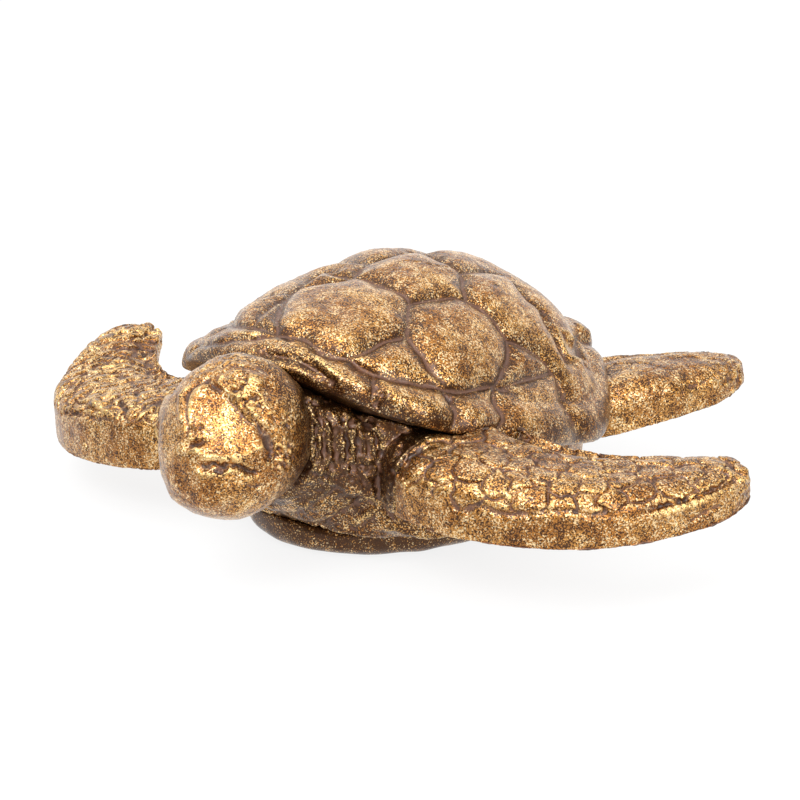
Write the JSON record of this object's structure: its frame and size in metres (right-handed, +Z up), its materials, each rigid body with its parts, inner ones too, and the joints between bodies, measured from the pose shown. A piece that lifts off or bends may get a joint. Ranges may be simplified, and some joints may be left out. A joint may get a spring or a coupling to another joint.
{
  "type": "turtle figurine",
  "caption": "Swimming sea turtle figurine with a domed scuted shell, spread flippers and raised head, cast in gold-finished resin, resting on a felt-covered base plate.",
  "frame": {"origin": "middle of the felt pad's underside, on the surface that the figurine rests on", "axes": "+Z up; the head points to -Y; the turtle's left side is +X"},
  "size_m": [0.2558, 0.2078, 0.0822],
  "materials": {
    "gold_resin": "gold leaf speckle over a brown ground, antiqued and lacquered",
    "steel": "drawn bar",
    "felt": "pressed felt"
  },
  "bodies": {
    "root": {"carapace": "gold_resin", "body": "gold_resin", "plastron": "gold_resin", "head": "gold_resin", "front_flipper_left": "gold_resin", "front_flipper_right": "gold_resin", "rear_flipper_left": "gold_resin", "rear_flipper_right": "gold_resin", "felt_pad": "felt", "head_dowel": "steel", "front_flipper_left_dowel": "steel", "front_flipper_right_dowel": "steel", "rear_flipper_left_dowel": "steel", "rear_flipper_right_dowel": "steel"}
  },
  "joints": []
}
